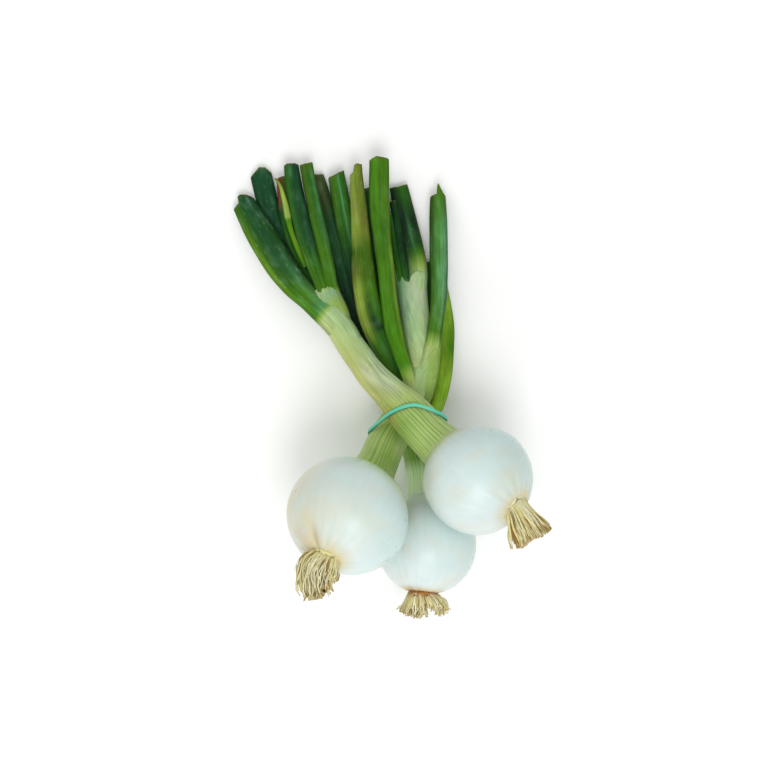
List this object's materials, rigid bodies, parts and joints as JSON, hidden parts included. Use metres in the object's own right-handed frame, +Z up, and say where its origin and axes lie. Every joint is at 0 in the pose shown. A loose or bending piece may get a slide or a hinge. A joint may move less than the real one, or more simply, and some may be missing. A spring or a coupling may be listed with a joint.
{
  "type": "spring onion bunch",
  "caption": "Bunch of white bulbing spring onions with trimmed roots and hollow green leaves, crossed at the necks and tied with a rubber band, lying down.",
  "frame": {"origin": "on the surface that the bunch lies on, under the centre of its bounding box", "axes": "+Z up from the surface, +Y along the bunch from the bulbs to the trimmed leaf tips, +X towards the right onion"},
  "size_m": [0.1639, 0.2422, 0.09],
  "materials": {
    "bulb_skin": "moist satin white onion skin",
    "dry_roots": "dry fibrous roots",
    "pale_sheath": "satin pale green leaf sheath",
    "green_leaf": "waxy satin green leaf",
    "dark_leaf": "waxy matt dark green leaf",
    "yellowing_leaf": "drying yellow-green leaf",
    "band_rubber": "smooth matt green rubber"
  },
  "bodies": {
    "root": {"right_bulb": "bulb_skin", "left_bulb": "bulb_skin", "middle_bulb": "bulb_skin", "right_roots": "dry_roots", "left_roots": "dry_roots", "middle_roots": "dry_roots", "rubber_band": "band_rubber", "right_inner_sheath": "pale_sheath", "left_inner_sheath": "pale_sheath", "left_side_sheath": "pale_sheath", "right_broad_leaf": "green_leaf", "right_tall_leaf": "green_leaf", "right_second_tall_leaf": "green_leaf", "right_back_leaf": "dark_leaf", "right_torn_leaf": "dark_leaf", "right_curled_shred": "yellowing_leaf", "middle_dark_leaf": "dark_leaf", "middle_hidden_leaf": "dark_leaf", "middle_flat_leaf": "green_leaf", "middle_yellowing_leaf": "yellowing_leaf", "left_long_leaf": "green_leaf", "left_wide_leaf": "dark_leaf", "left_thin_leaf": "dark_leaf", "left_second_thin_leaf": "green_leaf", "left_split_leaf": "green_leaf", "left_outer_leaf": "green_leaf", "left_under_leaf": "dark_leaf"}
  },
  "joints": []
}
